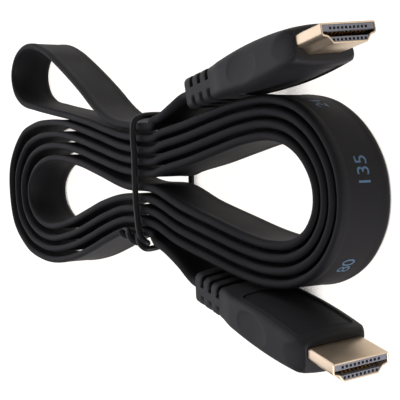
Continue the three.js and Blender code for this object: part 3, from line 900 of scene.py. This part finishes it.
# %% [markdown]
# ## The plug shells
# A shell is folded from thin plated sheet. Its mouth edge is turned over a little, which catches a
# thin bright line. It is drawn as one closed band: outside skin, rolled lip, inside skin.

# %% Shells
LIP_ROUND = ((0.14, 0.0), (0.05, 0.04), (0.0, 0.13))


def shell_shape():
    seated = SHELL_SHOWN + SHELL_SEATED
    profile = [(seated, 0.0)] + [(back, -drop) for back, drop in LIP_ROUND]
    profile += [(back, drop - SHELL_WALL) for back, drop in LIP_ROUND[::-1]] + [(seated, -SHELL_WALL)]
    vertices, faces = [], []
    for back, grow in profile:
        vertices += [(-back, y, z) for z, y in shell_outline(grow)]
    count = len(vertices) // len(profile)
    for row in range(len(profile)):
        for i in range(count):
            j = (i + 1) % count
            a, b = row * count, ((row + 1) % len(profile)) * count
            faces.append((a + i, b + i, b + j, a + j))
    return vertices, faces


for plug in PLUGS:
    shell = place_piece(plug + "_plated_shell", *shell_shape(), plug, shell_finish, smooth_angle=30)
    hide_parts(plug + "_shell")

# %% [markdown]
# ## The contact block and its contacts
# Inside the shell sits a grey block with a long slot and two rows of small square holes. Geometry
# Nodes set out each row of cutters on a line and take them and the slot out of the block with one
# boolean. Every size is an input of the tree.

# %% Sizes of the block
BLOCK_LENGTH = 9.6
BLOCK_INSET = 0.15
BLOCK_PLAY = 0.03
SLOT_TOP, SLOT_BOTTOM = 0.5, -0.8
SLOT_WIDTH, SLOT_DEPTH = 13.6, 8.7
CONTACT_PITCH = 1.0
ROWS = {"Upper": (10, 1.1), "Lower": (9, -1.35)}
HOLE_SIDE, HOLE_DEPTH = 0.6, 1.4
BLOCK_SIZES = {"Pitch": CONTACT_PITCH * MM, "Hole side": HOLE_SIDE * MM, "Hole depth": HOLE_DEPTH * MM,
               "Slot width": SLOT_WIDTH * MM, "Slot top": SLOT_TOP * MM, "Slot bottom": SLOT_BOTTOM * MM,
               "Slot depth": SLOT_DEPTH * MM, "Face at": -BLOCK_INSET * MM}
for label, (count, height) in ROWS.items():
    BLOCK_SIZES[label + " count"] = count
    BLOCK_SIZES[label + " height"] = height * MM
print("inputs of the block's tree", len(BLOCK_SIZES))

# %% [markdown]
# A row is a mesh line with one cutter on each of its points. The cutters are twice as deep as the
# hole, and centred on the block's face, so half of each reaches in.

# %% Tree that cuts the block
def row_line(tree, count, pitch, x, y):
    reach = maths(tree, "MULTIPLY", maths(tree, "SUBTRACT", count, 1.0), pitch)
    start = vector(tree, x, y, maths(tree, "MULTIPLY", reach, -0.5))
    line = add(tree, "GeometryNodeMeshLine", {"mode": "OFFSET"}, Count=count)
    put(tree, line, "Start Location", start)
    put(tree, line, "Offset", vector(tree, 0.0, 0.0, pitch))
    return line.outputs[0]


def block_tree():
    tree, group_in, group_out = new_tree("contact_block_cutters", BLOCK_SIZES)
    size = group_in.outputs
    depth = maths(tree, "MULTIPLY", size["Hole depth"], 2.0)
    hole = vector(tree, depth, size["Hole side"], size["Hole side"])
    cutter = add(tree, "GeometryNodeMeshCube", Size=hole)
    rows = add(tree, "GeometryNodeJoinGeometry")
    for label in ROWS:
        line = row_line(tree, size[label + " count"], size["Pitch"], size["Face at"],
                        size[label + " height"])
        row = add(tree, "GeometryNodeInstanceOnPoints", Points=line, Instance=cutter.outputs[0])
        tree.links.new(row.outputs[0], rows.inputs[0])
    tall = maths(tree, "SUBTRACT", size["Slot top"], size["Slot bottom"])
    middle = maths(tree, "MULTIPLY", maths(tree, "ADD", size["Slot top"], size["Slot bottom"]), 0.5)
    long = maths(tree, "MULTIPLY", size["Slot depth"], 2.0)
    slot = add(tree, "GeometryNodeMeshCube", Size=vector(tree, long, tall, size["Slot width"]))
    moved = add(tree, "GeometryNodeTransform", Geometry=slot.outputs[0])
    put(tree, moved, "Translation", vector(tree, size["Face at"], middle, 0.0))
    tree.links.new(moved.outputs[0], rows.inputs[0])
    solid = add(tree, "GeometryNodeRealizeInstances", Geometry=rows.outputs[0])
    cut = add(tree, "GeometryNodeMeshBoolean", {"operation": "DIFFERENCE", "solver": "EXACT"})
    tree.links.new(group_in.outputs["Geometry"], cut.inputs["Mesh 1"])
    tree.links.new(solid.outputs[0], cut.inputs["Mesh 2"])
    close_tree(tree, group_in, group_out, cut.outputs["Mesh"])
    return tree


def block_base():
    outline = shell_outline(-SHELL_WALL - BLOCK_PLAY, steps=4)
    count = len(outline)
    ends = (BLOCK_INSET, BLOCK_INSET + BLOCK_LENGTH)
    vertices = [(-x * MM, y * MM, z * MM) for x in ends for z, y in outline]
    faces = [(i, i + count, (i + 1) % count + count, (i + 1) % count) for i in range(count)]
    faces += [tuple(range(count)), tuple(range(count, 2 * count))[::-1]]
    return mesh_from("block_base", vertices, faces)


block_nodes = block_tree()
print("nodes in the block's tree", len(block_nodes.nodes))

# %% [markdown]
# The tree gives a block at the plug's own mouth, in metres. Its points are carried to the plug's
# place through millimetres, because the plugs' places are kept in those.

# %% The two blocks
def place_mesh(piece, plug):
    to_metres = Matrix.Translation(HANK_SHIFT) @ Matrix.Scale(MM, 4)
    piece.data.transform(to_metres @ plug_frames[plug] @ Matrix.Scale(1 / MM, 4))
    piece.data.update()
    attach(piece, "root")


for plug in PLUGS:
    block = run_tree(plug + "_holed_block", block_nodes, block_base(), BLOCK_SIZES, block_finish)
    place_mesh(block, plug)
    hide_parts(plug + "_block")

# %% [markdown]
# A contact is a thin springy strip that bows towards the middle of the slot near its tip. One strip
# is swept along a short curve and set out on the same kind of line as the holes.

# %% Contacts: a springy strip, set out in two rows
CONTACT_WIDTH, CONTACT_THICK = 0.45, 0.2
CONTACT_LENGTH, CONTACT_INSET = 7.4, 1.0
CONTACT_BOW, CONTACT_SEAT = 0.5, 0.12
CONTACT_SIZES = {"Pitch": CONTACT_PITCH * MM, "Strip width": CONTACT_WIDTH * MM,
                 "Strip thickness": CONTACT_THICK * MM, "Strip length": CONTACT_LENGTH * MM,
                 "Set back": CONTACT_INSET * MM, "Tip rise": CONTACT_BOW * MM,
                 "Upper count": ROWS["Upper"][0], "Upper height": (SLOT_TOP - CONTACT_SEAT) * MM,
                 "Lower count": ROWS["Lower"][0], "Lower height": (SLOT_BOTTOM + CONTACT_SEAT) * MM}


def contact_tree():
    tree, group_in, group_out = new_tree("contact_rows", CONTACT_SIZES)
    size = group_in.outputs
    rows = add(tree, "GeometryNodeJoinGeometry")
    back = maths(tree, "MULTIPLY", size["Strip length"], -1.0)
    bend_at = maths(tree, "MULTIPLY", back, 0.2)
    set_back = maths(tree, "MULTIPLY", size["Set back"], -1.0)
    section = add(tree, "GeometryNodeCurvePrimitiveQuadrilateral",
                  Width=size["Strip thickness"], Height=size["Strip width"])
    for label, way in (("Upper", -1.0), ("Lower", 1.0)):
        rise = maths(tree, "MULTIPLY", size["Tip rise"], way)
        bow = add(tree, "GeometryNodeCurveQuadraticBezier", Resolution=8)
        put(tree, bow, "Start", vector(tree, 0.0, 0.0, 0.0))
        put(tree, bow, "Middle", vector(tree, bend_at, maths(tree, "MULTIPLY", rise, 2.0), 0.0))
        put(tree, bow, "End", vector(tree, back, 0.0, 0.0))
        aimed = add(tree, "GeometryNodeSetCurveNormal", {"mode": "Z_UP"}, Curve=bow.outputs[0])
        strip = add(tree, "GeometryNodeCurveToMesh",
                    Curve=aimed.outputs[0], Profile_Curve=section.outputs[0], Fill_Caps=True)
        line = row_line(tree, size[label + " count"], size["Pitch"], set_back, size[label + " height"])
        row = add(tree, "GeometryNodeInstanceOnPoints", Points=line, Instance=strip.outputs[0])
        tree.links.new(row.outputs[0], rows.inputs[0])
    close_tree(tree, group_in, group_out, rows.outputs[0])
    return tree


contact_nodes = contact_tree()
seed_mesh = mesh_from("seed", [(0, 0, 0)], [])
for plug in PLUGS:
    contacts = run_tree(plug + "_gold_contacts", contact_nodes, seed_mesh, CONTACT_SIZES, contact_finish)
    place_mesh(contacts, plug)
    names = [f"{plug}_contact_{row.lower()}_{i + 1}"
             for row, (count, _) in ROWS.items() for i in range(count)]
    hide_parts(*names)

# %% [markdown]
# ## The twist tie
# A plastic-coated wire goes once round the waist, and its two ends are wound round each other. Its
# path is one open curve: tail, once round, tail. The points round the waist are drawn from
# the bundle's lower side, upper side, floor and top, so they move with the rows.

# %% Path of the twist tie
TIE_TAIL_START = 1.2
TIE_TAIL_LENGTH = 12.0
TIE_TAIL_TURNS = 1.25
TIE_TAIL_RADIUS = 0.85
TIE_KNOT_FROM_LOW_EDGE = (5.5, -1.2, -2.0)
TIE_TIP_FROM_LOW_EDGE = (-6.9, 3.2, 1.2)
TIE_STEP = 0.35


def tie_tail(knot, axis, phase):
    sideways = Vector((0, 0, 1)).cross(axis).normalized()
    upwards = axis.cross(sideways)
    steps = round(TIE_TAIL_TURNS * 8)
    run = []
    for i in range(steps + 1):
        share = i / steps
        angle = phase + share * TIE_TAIL_TURNS * 2 * math.pi
        run.append(knot + axis * mix(TIE_TAIL_START, TIE_TAIL_LENGTH, share)
                   + sideways * TIE_TAIL_RADIUS * math.cos(angle)
                   + upwards * TIE_TAIL_RADIUS * math.sin(angle))
    return run


def tie_points():
    reach = TIE_DIAMETER / 2 + PIECE_GAP
    under = TIE_DIAMETER / 2 + TIE_OFF_FLOOR
    over = LEAD_WIDTH + lift_at(TIE_X) + reach
    upper = row_y(0) + LEAD_THICK / 2 + reach
    lower = row_y(9) - LEAD_THICK / 2 - reach
    middle = (over + under) / 2
    knot, tip = (Vector((TIE_X + dx, lower + dy, over + dz))
                 for dx, dy, dz in (TIE_KNOT_FROM_LOW_EDGE, TIE_TIP_FROM_LOW_EDGE))
    axis = (tip - knot).normalized()
    waist = [
        (4.9, lower - 1.3, over - 4.6), (4.0, lower - 0.5, middle), (3.4, lower - 0.1, under + 1.6),
        (3.6, lower + 0.8, under + 0.3), (3.7, lower + 2.4, under), (3.9, lower + 6, under),
        (3.7, upper - 6, under), (3.4, upper - 2.4, under), (3.2, upper - 0.8, under + 0.3),
        (2.8, upper + 0.1, under + 1.6), (1.2, upper + 0.7, middle), (0.5, upper + 0.2, over - 2.0),
        (0.3, upper - 1.2, over), (0.5, row_y(3), over + 0.1), (1.7, row_y(7), over + 0.1),
        (3.8, lower + 1.8, over - 0.1)]
    round_the_waist = [(TIE_X + dx, y, z) for dx, y, z in waist]
    first, last = tie_tail(knot, axis, 0.0), tie_tail(knot, axis, math.pi)
    return [tuple(p) for p in first[::-1]] + round_the_waist + [tuple(p) for p in last]


tie_line, tie_at = spaced(catmull_rom(tie_points(), steps=12), TIE_STEP)
tie_mesh = mesh_from("tie_route", tie_line * MM + shift, [], [(i, i + 1) for i in range(len(tie_line) - 1)])
print("tie wire length in mm", round(tie_at[-1], 1))

# %% [markdown]
# The wire is a round section swept along that path. With its coating it measures a little thicker in
# the picture than the solid tie, so it gets its own radius here.

# %% Tie wire
TIE_COATED_RADIUS = 0.84
TIE_SIZES = {"Wire radius": TIE_COATED_RADIUS * MM, "Sides": 16}


def tie_tree():
    tree, group_in, group_out = new_tree("twist_tie_sweep", TIE_SIZES)
    curve = add(tree, "GeometryNodeMeshToCurve", Mesh=group_in.outputs["Geometry"])
    section = add(tree, "GeometryNodeCurvePrimitiveCircle", {"mode": "RADIUS"},
                  Resolution=group_in.outputs["Sides"], Radius=group_in.outputs["Wire radius"])
    close_tree(tree, group_in, group_out, sweep(tree, curve.outputs[0], section.outputs[0]))
    return tree


tie = run_tree("tie_wire", tie_tree(), tie_mesh, TIE_SIZES, tie_finish)
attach(tie, "root")
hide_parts("twist_tie")

# %% [markdown]
# ## The lead's size
# The lead runs from the first plug to the second. It is 14.3 mm wide and 2.4 mm thick, and its turns lie
# face to face. Declared with its real width, the check stops: it finds 43% of the length inside another
# part of the lead, where 30% may be. So the diameter given here isn't the lead's real width. It is the
# mean of its width and its thickness.

# %% [markdown]
# ## The table
# The cable lies on a plain white table that glows a little, so the shadows round it vanish. That glow is
# painted light.
# In the narrow gaps between turns the glow is turned down, which paints shade there: an ambient
# occlusion node measures how open each place is, and a map range turns that into the glow.

# %% Table
TABLE_HALF = 3
TABLE_DROP = 0.0004
GAP_REACH = 0.006
OPEN_FROM, OPEN_TO = 0.15, 0.31
PAINTED_GAP_SHADE_GLOW, GLOW_MOST = 0.03, 1.05

corners = [(x * TABLE_HALF, y * TABLE_HALF, 0) for x, y in ((-1, -1), (1, -1), (1, 1), (-1, 1))]
table_mesh = mesh_from("table", corners, [(0, 1, 2, 3)])
table = link(bpy.data.objects.new("table", table_mesh))
table_paint = bpy.data.materials.new("glowing_table_painted_gap_shade")
table_paint.use_nodes = True
table_tree = table_paint.node_tree
table_shader = table_tree.nodes["Principled BSDF"]
put(table_tree, table_shader, "Base Color", (0.12, 0.12, 0.12, 1))
put(table_tree, table_shader, "Roughness", 0.7)
put(table_tree, table_shader, "Emission Color", (1.0, 0.965, 0.93, 1))
# Painted shade: where the table is closed in between turns, its glow drops nearly to nothing.
openness = add(table_tree, "ShaderNodeAmbientOcclusion", {"samples": 24}, Distance=GAP_REACH)
glow = add(table_tree, "ShaderNodeMapRange", {"interpolation_type": "SMOOTHSTEP"},
           Value=openness.outputs["AO"], From_Min=OPEN_FROM, From_Max=OPEN_TO,
           To_Min=PAINTED_GAP_SHADE_GLOW, To_Max=GLOW_MOST)
table_tree.links.new(glow.outputs[0], table_shader.inputs["Emission Strength"])
table_mesh.materials.append(table_paint)
table.location.z = -TABLE_DROP
print("table", 2 * TABLE_HALF, "m square")

# %% [markdown]
# ## The light
# Black plastic shows by what it mirrors, so the lights are broad. A large one hangs high behind the
# cable, a window stands at its far side, and a small low one fills the faces that look at the camera.

# %% Lights and room
LAMP_COLOUR = (0.95, 0.93, 1.0)
ROOM_GLOW = 0.16


def flat_light(name, place, target, size, power):
    data = bpy.data.lights.new(name, "AREA")
    data.shape = "DISK"
    data.size = size
    data.energy = power
    data.color = LAMP_COLOUR
    lamp = link(bpy.data.objects.new(name, data))
    lamp.location = place
    lamp.rotation_euler = (Vector(target) - Vector(place)).to_track_quat("-Z", "Y").to_euler()
    return lamp


flat_light("overhead", place=(-1.30, 0.18, 1.20), target=(0, 0, 0), size=2.8, power=33.0)
flat_light("back_window", place=(-0.35, 0.85, 0.25), target=(0, 0, 0), size=0.60, power=2.0)
flat_light("low_front", place=(0.60, -0.50, 0.14), target=(0.05, 0, 0), size=0.4, power=6.0)
world = bpy.data.worlds.new("soft_room")
world.use_nodes = True
world.node_tree.nodes["Background"].inputs["Color"].default_value = (1.0, 1.0, 1.0, 1)
world.node_tree.nodes["Background"].inputs["Strength"].default_value = ROOM_GLOW
bpy.context.scene.world = world
bpy.context.scene.view_settings.view_transform = "Standard"
bpy.context.scene.view_settings.look = "None"
